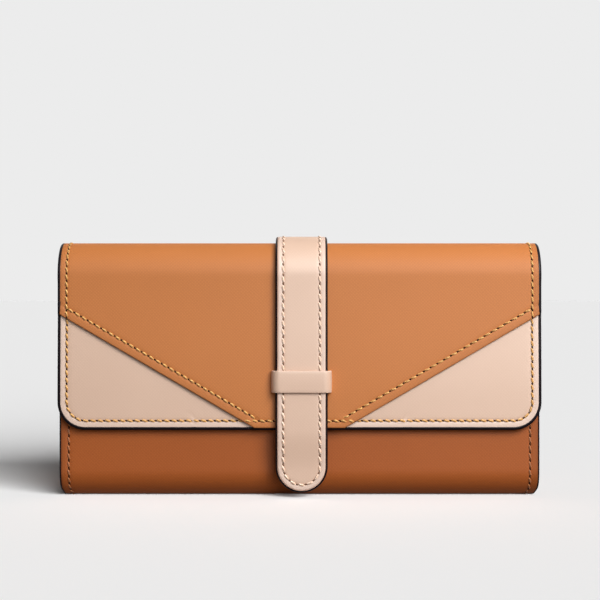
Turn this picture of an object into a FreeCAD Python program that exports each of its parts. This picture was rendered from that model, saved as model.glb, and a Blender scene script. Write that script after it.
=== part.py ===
import FreeCAD, Part
import Sketcher
import math
import os

Vector = FreeCAD.Vector

# Long flap wallet, closed and standing on its bottom fold.
# The front faces -Y, +X runs along the width and +Z is up.
# The origin is the centre of the flat under the bottom fold.

DRIVING_SIZES = {
    # shell
    "width": 190.0,
    "height": 100.2,
    "body_depth": 24.0,
    "leather": 1.2,
    "lining": 0.8,
    "bottom_radius": 8.0,
    "fold_leg": 2.0,
    "front_height": 84.0,
    # flap
    "flap_gap": 0.4,
    "flap_lining": 0.6,
    "flap_backing": 0.8,
    "fold_crown": 1.0,
    "flap_bottom": 27.4,
    "flap_corner_radius": 11.0,
    "corner_side": 72.3,
    "corner_inset": 16.2,
    "corner_side_tuck": 8.6,
    "corner_foot_tuck": 15.1,
    # strap, keeper and snap
    "strap_width": 20.5,
    "strap_end_flat": 0.1,
    "strap_thickness": 2.6,
    "strap_tip_bottom": 2.2,
    "strap_back_bottom": 46.0,
    "keeper_bottom": 41.3,
    "keeper_height": 8.6,
    "keeper_thickness": 1.0,
    "keeper_side_clearance": 0.6,
    "keeper_front_clearance": 0.3,
    "keeper_bend": 1.6,
    "snap_level": 15.0,
    "snap_radius": 6.0,
    "snap_plate": 1.2,
    "snap_boss_radius": 2.5,
    "snap_boss_length": 0.9,
    "snap_play": 0.5,
    # card slots
    "card_leather": 0.6,
    "card_top": 78.0,
    "card_step": 11.0,
    "card_bottom": 12.0,
    "card_margin": 5.5,
    "card_seam": 1.0,
    "card_strip": 14.0,
    "card_tongue_inset": 6.0,
    # compartments and middle pocket
    "rear_room": 4.6,
    "pocket_room": 6.4,
    "pocket_wall": 0.8,
    "pocket_height": 80.0,
    "pocket_lift": 0.8,
    "pocket_bend": 1.5,
    "pocket_margin": 3.0,
    "gusset_thickness": 0.6,
    "gusset_depth": 10.0,
    "gusset_flange": 2.5,
    "gusset_reach": 1.0,
    "gusset_bend": 0.9,
    "gusset_height": 78.0,
    # zip
    "tape_thickness": 0.5,
    "tape_depth": 10.0,
    "tape_rise": 0.6,
    "tape_bend": 0.8,
    "tape_end": 2.0,
    "chain_half": 2.0,
    "chain_thickness": 2.0,
    "chain_margin": 8.0,
    "tooth_pitch": 2.4,
    "tooth_width": 1.1,
    "tooth_neck": 0.8,
    "tooth_waist": 0.2,
    "tooth_tip": 0.7,
    "tooth_reach": 0.7,
    "cord_width": 0.8,
    "cord_height": 1.0,
    "slider_length": 9.0,
    "slider_width": 5.8,
    "slider_nose": 4.2,
    "slider_plate": 0.8,
    "slider_clearance": 0.15,
    "slider_flange": 0.6,
    "slider_corner": 0.6,
    "flange_overlap": 0.01,
    "post_width": 1.2,
    "post_length": 1.6,
    "bail_width": 1.6,
    "bail_thickness": 0.7,
    "bail_room": 1.2,
    "bail_bend": 0.8,
    "bail_headroom": 0.9,
    "pull_length": 12.0,
    "pull_width": 4.6,
    "pull_thickness": 0.8,
    "pull_bar": 1.0,
    "pull_window": 3.5,
    "pull_rail": 1.0,
    "pull_lift": 0.75,
    "pull_round": 1.6,
    "stop_length": 1.4,
    "stop_height": 1.5,
    "top_stop_gap": 0.5,
    "bottom_stop_gap": 1.0,
}

SLOTS_IN_A_COLUMN = 4

doc = FreeCAD.newDocument("long_wallet")
sizes = doc.addObject("Spreadsheet::Sheet", "sizes")
for row, (name, value) in enumerate(DRIVING_SIZES.items(), start=1):
    sizes.set(f"A{row}", name)
    sizes.set(f"B{row}", str(value))
    sizes.setAlias(f"B{row}", name)
doc.recompute()


def size(text):
    """An expression on the sheet, with @ before each size's name."""
    return "(" + text.replace("@", "sizes.") + ")"


def value(expression):
    result = sizes.evalExpression(expression)
    return float(getattr(result, "Value", result))


# Places worked out from the driving sizes, front (-Y) to back (+Y) and bottom to top.
halfWidth = size("@width / 2")
halfDepth = size("@body_depth / 2")
snapGap = size("@flap_gap + @flap_lining + @flap_backing + @leather")
flapFace = f"(-{halfDepth} - {snapGap})"
foldDepth = f"(2 * {halfDepth} + {snapGap})"
foldRadius = f"(({foldDepth} - sizes.fold_crown) / 2)"
flapSeam = f"(sizes.height - {foldRadius} - sizes.fold_leg)"
bottomSeam = size("@bottom_radius + @fold_leg")
frontInner = f"(-{halfDepth} + sizes.leather + sizes.lining)"
backInner = f"({halfDepth} - sizes.leather - sizes.lining)"
cardFace = f"({backInner} - {SLOTS_IN_A_COLUMN + 1} * sizes.card_leather)"
pocketRear = f"({cardFace} - sizes.rear_room)"
pocketRearInner = f"({pocketRear} - sizes.pocket_wall)"
pocketFrontInner = f"({pocketRearInner} - sizes.pocket_room)"
pocketFront = f"({pocketFrontInner} - sizes.pocket_wall)"
pocketMiddle = f"(({pocketRear} + {pocketFront}) / 2)"
pocketBottom = size("@leather + @lining + @pocket_lift")
pocketSeam = f"({pocketBottom} + sizes.pocket_bend + sizes.fold_leg)"
pocketSide = f"({halfWidth} - sizes.pocket_margin)"
strapFace = f"({flapFace} - sizes.strap_thickness)"
halfStrap = size("@strap_width / 2")
strapRound = size("(@strap_width - @strap_end_flat) / 2")
strapSplit = f"(sizes.keeper_bottom - sizes.keeper_front_clearance)"
tapeTop = size("@pocket_height + @tape_rise")
chainLevel = size("@pocket_height + @tape_rise - @tape_thickness / 2")
chainEnd = f"({pocketSide} - sizes.chain_margin)"
chainTop = f"({chainLevel} + sizes.chain_thickness / 2)"
chainBottom = f"({chainLevel} - sizes.chain_thickness / 2)"
sliderNose = f"({chainEnd} + sizes.post_length + sizes.slider_corner + 2 * sizes.slider_clearance)"
sliderMiddle = f"({sliderNose} - sizes.slider_length / 2)"
plateTop = f"({chainTop} + sizes.slider_clearance + sizes.slider_plate)"
pullLevel = f"({plateTop} + sizes.pull_lift)"

# Sketch planes of loose sketches: the plane's own x and y run along these axes.
ALONG_YZ = FreeCAD.Rotation(Vector(1, 1, 1), 120)
ALONG_XZ = FreeCAD.Rotation(Vector(1, 0, 0), 90)
ALONG_XY = FreeCAD.Rotation()


def roundedCorner(before, here, after, radius):
    """Where the arc of a rounded corner starts and ends, and its centre."""
    toBefore = (before - here).normalize()
    toAfter = (after - here).normalize()
    turn = toBefore.getAngle(toAfter)
    reach = radius / math.tan(turn / 2)
    centre = here + (toBefore + toAfter).normalize() * (radius / math.sin(turn / 2))
    return here + toBefore * reach, here + toAfter * reach, centre


def drawOutline(sketch, corners, closed=True):
    """Lines through the corners, each (x, y) or (x, y, radius) as expressions on the sheet."""
    count = len(corners)
    points = [Vector(value(corner[0]), value(corner[1]), 0) for corner in corners]
    starts = list(points)
    ends = list(points)
    arcs = {}
    for index, corner in enumerate(corners):
        if len(corner) == 3:
            before = points[index - 1]
            after = points[(index + 1) % count]
            radius = value(corner[2])
            starts[index], ends[index], centre = roundedCorner(before, points[index], after, radius)
            arcs[index] = (centre, radius)
    lines = {}
    for index in range(count if closed else count - 1):
        line = Part.LineSegment(ends[index], starts[(index + 1) % count])
        lines[index] = sketch.addGeometry(line, False)
    for index, corner in enumerate(corners):
        before = lines.get((index - 1) % count)
        after = lines.get(index)
        if index in arcs:
            centre, radius = arcs[index]
            first = starts[index] - centre
            last = ends[index] - centre
            turnsLeft = (points[index] - points[index - 1]).cross(last - first).z > 0
            angles = [math.atan2(first.y, first.x), math.atan2(last.y, last.x)]
            if not turnsLeft:
                angles.reverse()
            circle = Part.Circle(centre, Vector(0, 0, 1), radius)
            arc = sketch.addGeometry(Part.ArcOfCircle(circle, *angles), False)
            point = sketch.addGeometry(Part.Point(points[index]), True)
            startEnd, finishEnd = (1, 2) if turnsLeft else (2, 1)
            sketch.addConstraint(Sketcher.Constraint("Tangent", before, 2, arc, startEnd))
            sketch.addConstraint(Sketcher.Constraint("Tangent", after, 1, arc, finishEnd))
            sketch.addConstraint(Sketcher.Constraint("PointOnObject", point, 1, before))
            sketch.addConstraint(Sketcher.Constraint("PointOnObject", point, 1, after))
            rule = sketch.addConstraint(Sketcher.Constraint("Radius", arc, radius))
            sketch.setExpression(f"Constraints[{rule}]", corner[2])
            held = (point, 1)
        elif before is None:
            held = (after, 1)
        elif after is None:
            held = (before, 2)
        else:
            sketch.addConstraint(Sketcher.Constraint("Coincident", before, 2, after, 1))
            held = (after, 1)
        for kind, expression, distance in (
            ("DistanceX", corner[0], points[index].x),
            ("DistanceY", corner[1], points[index].y),
        ):
            rule = sketch.addConstraint(Sketcher.Constraint(kind, -1, 1, *held, distance))
            sketch.setExpression(f"Constraints[{rule}]", expression)


def mirrored(corners):
    """The corners followed by their reflections in x, for an outline that is the same on both sides."""
    return corners + [(f"(-{corner[0]})", *corner[1:]) for corner in reversed(corners)]


def opposite(corners):
    """The outline reflected in x."""
    return [(f"(-{corner[0]})", *corner[1:]) for corner in corners]


def newBody(label):
    body = doc.addObject("PartDesign::Body", label)
    body.Label = label
    return body


def addSketch(body, name, role, corners, level):
    """A sketch on one of the body's origin planes, moved along the plane's normal."""
    sketch = body.newObject("Sketcher::SketchObject", name)
    plane = next(feature for feature in body.Origin.OriginFeatures if feature.Role == role)
    sketch.AttachmentSupport = [(plane, "")]
    sketch.MapMode = "FlatFace"
    sketch.setExpression(".AttachmentOffset.Base.z", level)
    drawOutline(sketch, corners)
    return sketch


def addPad(body, name, sketch, length):
    pad = body.newObject("PartDesign::Pad", name)
    pad.Profile = sketch
    pad.setExpression("Length", length)
    return pad


def flatPanel(label, corners, rearFace, thickness):
    """A flat upright piece: an outline in x and z, padded forwards from its rear face."""
    body = newBody(label)
    sketch = addSketch(body, label + "_outline", "XZ_Plane", corners, f"(-{rearFace})")
    addPad(body, label + "_pad", sketch, thickness)
    return body


def bentSheet(label, plane, path, thickness, length, start=None):
    """A sheet of even thickness that follows a path and is extruded across it.

    A positive thickness lies on the right of the path, and start None centres the sheet.
    """
    sketch = doc.addObject("Sketcher::SketchObject", label + "_path")
    sketch.Placement = FreeCAD.Placement(Vector(), plane)
    if start is not None:
        sketch.setExpression(".Placement.Base.z", start)
    drawOutline(sketch, path, closed=False)
    section = doc.addObject("Part::Offset2D", label + "_section")
    section.Source = sketch
    section.Mode = "Skin"
    section.Fill = True
    section.Join = "Intersection"
    section.setExpression("Value", thickness)
    sheet = doc.addObject("Part::Extrusion", label)
    sheet.Label = label
    sheet.Base = section
    sheet.DirMode = "Normal"
    sheet.Solid = True
    sheet.Symmetric = start is None
    sheet.setExpression("LengthFwd", length)
    return sheet


def uprightRectangle(half, bottom, top):
    return mirrored([(half, bottom), (half, top)])


def makeShell():
    nodes = [
        flatPanel("back_panel", uprightRectangle(halfWidth, bottomSeam, flapSeam), halfDepth, "sizes.leather"),
        flatPanel("back_lining", uprightRectangle(halfWidth, bottomSeam, flapSeam),
                  f"({halfDepth} - sizes.leather)", "sizes.lining"),
        flatPanel("front_panel", uprightRectangle(halfWidth, bottomSeam, "sizes.front_height"),
                  f"(-{halfDepth} + sizes.leather)", "sizes.leather"),
        flatPanel("front_lining", uprightRectangle(halfWidth, bottomSeam, "sizes.front_height"),
                  frontInner, "sizes.lining"),
    ]
    bottomPath = [
        (f"(-{halfDepth})", bottomSeam),
        (f"(-{halfDepth})", "0", "sizes.bottom_radius"),
        (halfDepth, "0", "sizes.bottom_radius"),
        (halfDepth, bottomSeam),
    ]
    nodes.append(bentSheet("bottom_fold", ALONG_YZ, bottomPath, "-sizes.leather", "sizes.width"))
    liningDepth = size("@body_depth / 2 - @leather")
    liningRadius = size("@bottom_radius - @leather")
    liningPath = [
        (f"(-{liningDepth})", bottomSeam),
        (f"(-{liningDepth})", "sizes.leather", liningRadius),
        (liningDepth, "sizes.leather", liningRadius),
        (liningDepth, bottomSeam),
    ]
    nodes.append(bentSheet("bottom_lining", ALONG_YZ, liningPath, "-sizes.lining", "sizes.width"))
    return nodes


def topFoldPath(inset):
    """Over the top from the flap to the back, a given distance inside the leather's outer face."""
    radius = f"({foldRadius} - {inset})"
    top = f"(sizes.height - {inset})"
    front = f"({flapFace} + {inset})"
    back = f"({halfDepth} - {inset})"
    return [(front, flapSeam), (front, top, radius), (back, top, radius), (back, flapSeam)]


def makeTopFold():
    return [
        bentSheet("top_fold", ALONG_YZ, topFoldPath("0"), "sizes.leather", "sizes.width"),
        bentSheet("top_fold_lining", ALONG_YZ, topFoldPath("sizes.leather"), "sizes.flap_lining", "sizes.width"),
    ]


def makeFlap():
    """The flap: centre leather over two corner leathers, a stiffener between those and a lining."""
    underSide = size("@corner_side + @corner_side_tuck")
    underFoot = size("@corner_inset - @corner_foot_tuck")
    centre = mirrored([
        ("sizes.corner_inset", "sizes.flap_bottom"),
        (halfWidth, "sizes.corner_side"),
        (halfWidth, flapSeam),
    ])
    corner = [
        (underFoot, "sizes.flap_bottom"),
        (halfWidth, "sizes.flap_bottom", "sizes.flap_corner_radius"),
        (halfWidth, underSide),
    ]
    stiffener = mirrored([
        (underFoot, "sizes.flap_bottom"),
        (halfWidth, underSide),
        (halfWidth, flapSeam),
    ])
    whole = mirrored([
        (halfWidth, "sizes.flap_bottom", "sizes.flap_corner_radius"),
        (halfWidth, flapSeam),
    ])
    leatherRear = f"({flapFace} + sizes.leather)"
    backingRear = f"({leatherRear} + sizes.flap_backing)"
    liningRear = f"({backingRear} + sizes.flap_lining)"
    return [
        flatPanel("flap_centre", centre, leatherRear, "sizes.leather"),
        flatPanel("flap_corner_right", corner, backingRear, "sizes.flap_backing"),
        flatPanel("flap_corner_left", opposite(corner), backingRear, "sizes.flap_backing"),
        flatPanel("flap_stiffener", stiffener, backingRear, "sizes.flap_backing"),
        flatPanel("flap_lining", whole, liningRear, "sizes.flap_lining"),
    ]


def makeStrap():
    strapOnBack = mirrored([
        (halfStrap, "sizes.strap_back_bottom", strapRound),
        (halfStrap, flapSeam),
    ])
    tip = mirrored([
        (halfStrap, "sizes.strap_tip_bottom", strapRound),
        (halfStrap, strapSplit),
    ])
    keeperSide = f"({halfStrap} + sizes.keeper_side_clearance + sizes.keeper_thickness)"
    keeperFace = f"({strapFace} - sizes.keeper_front_clearance - sizes.keeper_thickness)"
    keeperPath = [
        (f"(-{keeperSide})", flapFace),
        (f"(-{keeperSide})", keeperFace, "sizes.keeper_bend"),
        (keeperSide, keeperFace, "sizes.keeper_bend"),
        (keeperSide, flapFace),
    ]
    return [
        flatPanel("strap_back", strapOnBack, f"({halfDepth} + sizes.strap_thickness)", "sizes.strap_thickness"),
        bentSheet("strap_fold", ALONG_YZ, topFoldPath("0"), "-sizes.strap_thickness", "sizes.strap_width"),
        flatPanel("strap_front", uprightRectangle(halfStrap, strapSplit, flapSeam),
                  flapFace, "sizes.strap_thickness"),
        flatPanel("strap_tip", tip, flapFace, "sizes.strap_thickness"),
        bentSheet("keeper_loop", ALONG_XY, keeperPath, "-sizes.keeper_thickness",
                  "sizes.keeper_height", "sizes.keeper_bottom"),
    ]


def addCircle(body, name, radius, level):
    """A circle about the snap's centre, on a plane square to y that is a level forwards of it."""
    sketch = body.newObject("Sketcher::SketchObject", name)
    plane = next(feature for feature in body.Origin.OriginFeatures if feature.Role == "XZ_Plane")
    sketch.AttachmentSupport = [(plane, "")]
    sketch.MapMode = "FlatFace"
    sketch.setExpression(".AttachmentOffset.Base.z", f"(-{level})")
    centre = Vector(0, value("sizes.snap_level"), 0)
    sketch.addGeometry(Part.Circle(centre, Vector(0, 0, 1), value(radius)), False)
    sketch.addConstraint(Sketcher.Constraint("PointOnObject", 0, 3, -2))
    rule = sketch.addConstraint(Sketcher.Constraint("DistanceY", -1, 1, 0, 3, centre.y))
    sketch.setExpression(f"Constraints[{rule}]", "sizes.snap_level")
    rule = sketch.addConstraint(Sketcher.Constraint("Radius", 0, value(radius)))
    sketch.setExpression(f"Constraints[{rule}]", radius)
    return sketch


def makeSnap():
    """The two halves of the magnetic snap: a boss under the strap's tip and a socket on the front."""
    stud = newBody("snap_stud")
    plateFace = f"({flapFace} + sizes.snap_plate)"
    bossFace = f"({plateFace} + sizes.snap_boss_length)"
    addPad(stud, "stud_plate", addCircle(stud, "stud_plate_circle", "sizes.snap_radius", plateFace),
           "sizes.snap_plate")
    addPad(stud, "stud_boss", addCircle(stud, "stud_boss_circle", "sizes.snap_boss_radius", bossFace),
           "sizes.snap_boss_length")
    socket = newBody("snap_socket")
    socketRear = f"(-{halfDepth})"
    addPad(socket, "socket_plate", addCircle(socket, "socket_circle", "sizes.snap_radius", socketRear),
           f"({snapGap} - sizes.snap_plate - sizes.snap_play)")
    doc.recompute()
    boreRadius = size("@snap_boss_radius + @snap_play")
    bore = socket.newObject("PartDesign::Pocket", "socket_bore")
    bore.Profile = addCircle(socket, "socket_bore_circle", boreRadius, socketRear)
    bore.Type = "ThroughAll"
    bore.Midplane = True
    return [stud, socket]


def makeCardSlots():
    """Two columns of four overlapping T-shaped slots on one backing, stepped down by an even rise."""
    half = f"({halfWidth} - sizes.card_margin + sizes.card_seam / 2)"
    nodes = [flatPanel("card_backing", uprightRectangle(half, bottomSeam, "sizes.card_top + sizes.card_seam"),
                       backInner, "sizes.card_leather")]
    outer = size("@width / 2 - @card_margin")
    inner = size("@card_seam / 2")
    for number in range(1, SLOTS_IN_A_COLUMN + 1):
        top = size(f"@card_top - {number - 1} * @card_step")
        strip = size(f"@card_top - {number - 1} * @card_step - @card_strip")
        if number < SLOTS_IN_A_COLUMN:
            slot = [
                (f"({inner} + sizes.card_tongue_inset)", "sizes.card_bottom"),
                (f"({outer} - sizes.card_tongue_inset)", "sizes.card_bottom"),
                (f"({outer} - sizes.card_tongue_inset)", strip),
                (outer, strip),
                (outer, top),
                (inner, top),
                (inner, strip),
                (f"({inner} + sizes.card_tongue_inset)", strip),
            ]
        else:
            slot = [(inner, "sizes.card_bottom"), (outer, "sizes.card_bottom"), (outer, top), (inner, top)]
        rear = f"({backInner} - {number} * sizes.card_leather)"
        nodes.append(flatPanel(f"card_slot_right_{number}", slot, rear, "sizes.card_leather"))
        nodes.append(flatPanel(f"card_slot_left_{number}", opposite(slot), rear, "sizes.card_leather"))
    return nodes


def makePocket():
    """The middle pocket: two walls joined by a folded floor."""
    wall = uprightRectangle(pocketSide, pocketSeam, "sizes.pocket_height")
    floorPath = [
        (pocketFront, pocketSeam),
        (pocketFront, pocketBottom, "sizes.pocket_bend"),
        (pocketRear, pocketBottom, "sizes.pocket_bend"),
        (pocketRear, pocketSeam),
    ]
    return [
        flatPanel("pocket_front_wall", wall, pocketFrontInner, "sizes.pocket_wall"),
        flatPanel("pocket_rear_wall", wall, pocketRear, "sizes.pocket_wall"),
        bentSheet("pocket_floor", ALONG_YZ, floorPath, "-sizes.pocket_wall", f"(2 * {pocketSide})"),
    ]


def makeGussets():
    """Each side gusset folds inwards twice, once in each bill compartment, around the pocket's edge."""
    point = f"({pocketSide} - sizes.gusset_depth)"
    flangeEnd = f"({pocketSide} + sizes.gusset_reach)"
    rearLeg = f"({halfWidth} - sizes.card_margin + sizes.card_seam)"
    path = [
        (flangeEnd, frontInner),
        (f"({flangeEnd} - sizes.gusset_flange)", frontInner),
        (point, f"(({frontInner} + {pocketFront}) / 2)", "sizes.gusset_bend"),
        (pocketSide, pocketFront),
        (pocketSide, pocketRear),
        (point, f"(({pocketRear} + {cardFace}) / 2)", "sizes.gusset_bend"),
        (rearLeg, cardFace),
        (rearLeg, backInner),
        (f"({rearLeg} + sizes.gusset_flange)", backInner),
    ]
    height = f"(sizes.gusset_height - {bottomSeam})"
    right = bentSheet("gusset_right", ALONG_XY, path, "sizes.gusset_thickness", height, bottomSeam)
    left = doc.addObject("Part::Mirroring", "gusset_left")
    left.Label = "gusset_left"
    left.Source = right
    left.Normal = Vector(1, 0, 0)
    return [right, left]


def acrossPocket(side, distance):
    """A y place at a distance from the pocket's middle, towards the rear for side 1."""
    return f"({pocketMiddle} + {side} * {distance})"


def makeTape(label, side):
    """A zip tape: down the inside of one wall, and over towards the chain."""
    inside = acrossPocket(side, "(sizes.pocket_room / 2)")
    path = [
        (inside, size("@pocket_height - @tape_depth")),
        (inside, tapeTop, "sizes.tape_bend"),
        (acrossPocket(side, "sizes.chain_half"), tapeTop),
    ]
    thickness = "sizes.tape_thickness" if side < 0 else "-sizes.tape_thickness"
    return bentSheet(label, ALONG_YZ, path, thickness, f"(2 * {pocketSide} - sizes.tape_end)")


def makeTeeth(label, side, shift):
    """One row of zip teeth: a cord along the tape's edge with teeth patterned on it.

    The other row's teeth stand half a pitch along, so that the heads of the two rows interleave.
    """
    body = newBody(label)
    cordBack = acrossPocket(side, "sizes.chain_half")
    cordFront = acrossPocket(side, "(sizes.chain_half - sizes.cord_width)")
    cord = [
        (f"(-{chainEnd})", cordBack),
        (chainEnd, cordBack),
        (chainEnd, cordFront),
        (f"(-{chainEnd})", cordFront),
    ]
    cordSketch = addSketch(body, label + "_cord", "XY_Plane", cord, f"({chainLevel} - sizes.cord_height / 2)")
    addPad(body, label + "_cord_pad", cordSketch, "sizes.cord_height")
    first = f"(-{chainEnd} + sizes.tooth_pitch * {shift})"
    halfTooth = "sizes.tooth_width / 2"
    halfNeck = "sizes.tooth_neck / 2"
    neck = acrossPocket(side, "(sizes.chain_half - sizes.cord_width - sizes.tooth_waist)")
    head = acrossPocket(side, "0")
    tip = acrossPocket(side, "(-sizes.tooth_reach)")
    tooth = [
        (f"({first} - {halfTooth})", cordBack),
        (f"({first} + {halfTooth})", cordBack),
        (f"({first} + {halfTooth})", cordFront),
        (f"({first} + {halfNeck})", neck),
        (f"({first} + {halfTooth})", head),
        (f"({first} + sizes.tooth_tip / 2)", tip),
        (f"({first} - sizes.tooth_tip / 2)", tip),
        (f"({first} - {halfTooth})", head),
        (f"({first} - {halfNeck})", neck),
        (f"({first} - {halfTooth})", cordFront),
    ]
    toothSketch = addSketch(body, label + "_tooth", "XY_Plane", tooth, chainBottom)
    toothPad = addPad(body, label + "_tooth_pad", toothSketch, "sizes.chain_thickness")
    doc.recompute()
    row = body.newObject("PartDesign::LinearPattern", label + "_row")
    row.Originals = [toothPad]
    axis = next(feature for feature in body.Origin.OriginFeatures if feature.Role == "X_Axis")
    row.Direction = (axis, [""])
    count = f"floor(2 * {chainEnd} / sizes.tooth_pitch)"
    row.setExpression("Occurrences", count)
    row.setExpression("Length", f"(({count} - 1) * sizes.tooth_pitch)")
    body.Tip = row
    return body


def makeStops():
    """The bottom stop bridges both tapes at the left end; each tape has its own top stop on the right."""
    stopBottom = f"({chainLevel} - sizes.stop_height / 2)"
    leftEnd = f"(-{chainEnd} - sizes.bottom_stop_gap)"
    bridge = [
        (f"({leftEnd} - sizes.stop_length)", acrossPocket(-1, "sizes.chain_half")),
        (leftEnd, acrossPocket(-1, "sizes.chain_half")),
        (leftEnd, acrossPocket(1, "sizes.chain_half")),
        (f"({leftEnd} - sizes.stop_length)", acrossPocket(1, "sizes.chain_half")),
    ]
    nodes = []
    body = newBody("zip_stop_bottom")
    sketch = addSketch(body, "bottom_stop_outline", "XY_Plane", bridge, stopBottom)
    addPad(body, "bottom_stop_pad", sketch, "sizes.stop_height")
    nodes.append(body)
    start = f"({sliderMiddle} + sizes.slider_length / 2 + sizes.top_stop_gap)"
    for name, side in (("front", -1), ("rear", 1)):
        block = [
            (start, acrossPocket(side, "sizes.chain_half")),
            (f"({start} + sizes.stop_length)", acrossPocket(side, "sizes.chain_half")),
            (f"({start} + sizes.stop_length)", acrossPocket(side, "(sizes.chain_half - sizes.cord_width)")),
            (start, acrossPocket(side, "(sizes.chain_half - sizes.cord_width)")),
        ]
        body = newBody("zip_stop_top_" + name)
        sketch = addSketch(body, f"top_stop_{name}_outline", "XY_Plane", block, stopBottom)
        addPad(body, f"top_stop_{name}_pad", sketch, "sizes.stop_height")
        nodes.append(body)
    return nodes


def sliderOutline(halfSlider):
    """Seen from above: full width at the tail, narrowing to the nose."""
    tail = f"({sliderMiddle} - sizes.slider_length / 2)"
    shoulder = f"({sliderMiddle} + sizes.slider_length / 6)"
    nose = f"({sliderMiddle} + sizes.slider_length / 2)"
    halfNose = f"(sizes.slider_nose / sizes.slider_width * {halfSlider})"
    return [
        (tail, acrossPocket(-1, halfSlider), "sizes.slider_corner"),
        (shoulder, acrossPocket(-1, halfSlider)),
        (nose, acrossPocket(-1, halfNose), "sizes.slider_corner"),
        (nose, acrossPocket(1, halfNose), "sizes.slider_corner"),
        (shoulder, acrossPocket(1, halfSlider)),
        (tail, acrossPocket(1, halfSlider), "sizes.slider_corner"),
    ]


def makeSlider():
    """The slider: two plates joined by a post at the nose, side flanges above and a bail for the pull."""
    body = newBody("zip_slider")
    lowerHalf = size("@pocket_room / 2 - @tape_thickness - @slider_clearance * 2")
    lower = addSketch(body, "slider_lower", "XY_Plane", sliderOutline(lowerHalf),
                      f"({chainBottom} - sizes.slider_clearance - sizes.slider_plate)")
    addPad(body, "slider_lower_pad", lower, "sizes.slider_plate")
    postEnd = f"({sliderMiddle} + sizes.slider_length / 2 - sizes.slider_corner)"
    postStart = f"({postEnd} - sizes.post_length)"
    postMiddle = f"({postEnd} - sizes.post_length / 2)"
    post = [
        (postStart, pocketMiddle),
        (postMiddle, acrossPocket(-1, "(sizes.post_width / 2)")),
        (postEnd, pocketMiddle),
        (postMiddle, acrossPocket(1, "(sizes.post_width / 2)")),
    ]
    postSketch = addSketch(body, "slider_post", "XY_Plane", post, f"({chainBottom} - sizes.slider_clearance)")
    addPad(body, "slider_post_pad", postSketch, size("@chain_thickness + 2 * @slider_clearance"))
    halfSlider = size("@slider_width / 2")
    upper = addSketch(body, "slider_upper", "XY_Plane", sliderOutline(halfSlider),
                      f"({chainTop} + sizes.slider_clearance)")
    addPad(body, "slider_upper_pad", upper, "sizes.slider_plate")
    tail = f"({sliderMiddle} - sizes.slider_length / 2 + sizes.slider_corner)"
    shoulder = f"({sliderMiddle} + sizes.slider_length / 6)"
    for name, side in (("front", -1), ("rear", 1)):
        flange = [
            (tail, acrossPocket(side, halfSlider)),
            (shoulder, acrossPocket(side, halfSlider)),
            (shoulder, acrossPocket(side, size("@slider_width / 2 - @slider_flange"))),
            (tail, acrossPocket(side, size("@slider_width / 2 - @slider_flange"))),
        ]
        sketch = addSketch(body, f"slider_flange_{name}", "XY_Plane", flange,
                           f"({tapeTop} + sizes.slider_clearance)")
        addPad(body, f"slider_flange_{name}_pad", sketch,
               f"({chainTop} - {tapeTop} + sizes.flange_overlap)")
    doc.recompute()
    return body


def makeBail():
    """The bail's arch on the slider's upper plate, over the pull's bar."""
    half = size("@bail_room + @bail_thickness")
    top = f"({pullLevel} + sizes.bail_headroom + sizes.bail_thickness)"
    path = [
        (f"({sliderMiddle} - {half})", plateTop),
        (f"({sliderMiddle} - {half})", top, "sizes.bail_bend"),
        (f"({sliderMiddle} + {half})", top, "sizes.bail_bend"),
        (f"({sliderMiddle} + {half})", plateTop),
    ]
    bail = bentSheet("bail", ALONG_XZ, path, "sizes.bail_thickness", "sizes.bail_width")
    bail.setExpression(".Placement.Base.y", pocketMiddle)
    return bail


def makePull():
    """The pull lies along the chain; its end bar turns inside the bail."""
    body = newBody("zip_pull")
    bar = f"({sliderMiddle} + sizes.pull_bar / 2)"
    tip = f"({sliderMiddle} - sizes.pull_length)"
    half = "(sizes.pull_width / 2)"
    plate = [
        (bar, acrossPocket(-1, half)),
        (bar, acrossPocket(1, half)),
        (tip, acrossPocket(1, half), "sizes.pull_round"),
        (tip, acrossPocket(-1, half), "sizes.pull_round"),
    ]
    level = f"({pullLevel} - sizes.pull_thickness / 2)"
    sketch = addSketch(body, "pull_outline", "XY_Plane", plate, level)
    addPad(body, "pull_pad", sketch, "sizes.pull_thickness")
    windowHalf = size("@pull_width / 2 - @pull_rail")
    windowStart = f"({sliderMiddle} - sizes.pull_bar / 2)"
    window = [
        (windowStart, acrossPocket(-1, windowHalf)),
        (windowStart, acrossPocket(1, windowHalf)),
        (f"({windowStart} - sizes.pull_window)", acrossPocket(1, windowHalf)),
        (f"({windowStart} - sizes.pull_window)", acrossPocket(-1, windowHalf)),
    ]
    doc.recompute()
    windowSketch = addSketch(body, "pull_window", "XY_Plane", window, pullLevel)
    cut = body.newObject("PartDesign::Pocket", "pull_window_cut")
    cut.Profile = windowSketch
    cut.Type = "ThroughAll"
    cut.Midplane = True
    return body


nodes = makeShell() + makeTopFold() + makeFlap() + makeStrap() + makeSnap()
nodes += makeCardSlots() + makePocket() + makeGussets()
nodes += [makeTape("zip_tape_front", -1), makeTape("zip_tape_rear", 1)]
nodes += [makeTeeth("zip_teeth_front", -1, 0.25), makeTeeth("zip_teeth_rear", 1, 0.75)]
nodes += makeStops()
sliderBody = makeSlider()
bail = makeBail()
sliderBody.Label = "slider_body"
slider = doc.addObject("Part::Fuse", "slider_whole")
slider.Base = sliderBody
slider.Tool = bail
slider.Label = "zip_slider"
nodes += [slider, makePull()]
doc.recompute()

for item in doc.Objects:
    if "Invalid" in item.State or "Error" in item.State:
        raise RuntimeError(f"{item.Label} did not build: {item.State}")
for node in nodes:
    if node.Shape.isNull() or not node.Shape.isValid() or not node.Shape.Solids:
        raise RuntimeError(f"{node.Label} has no valid solid")

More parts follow.
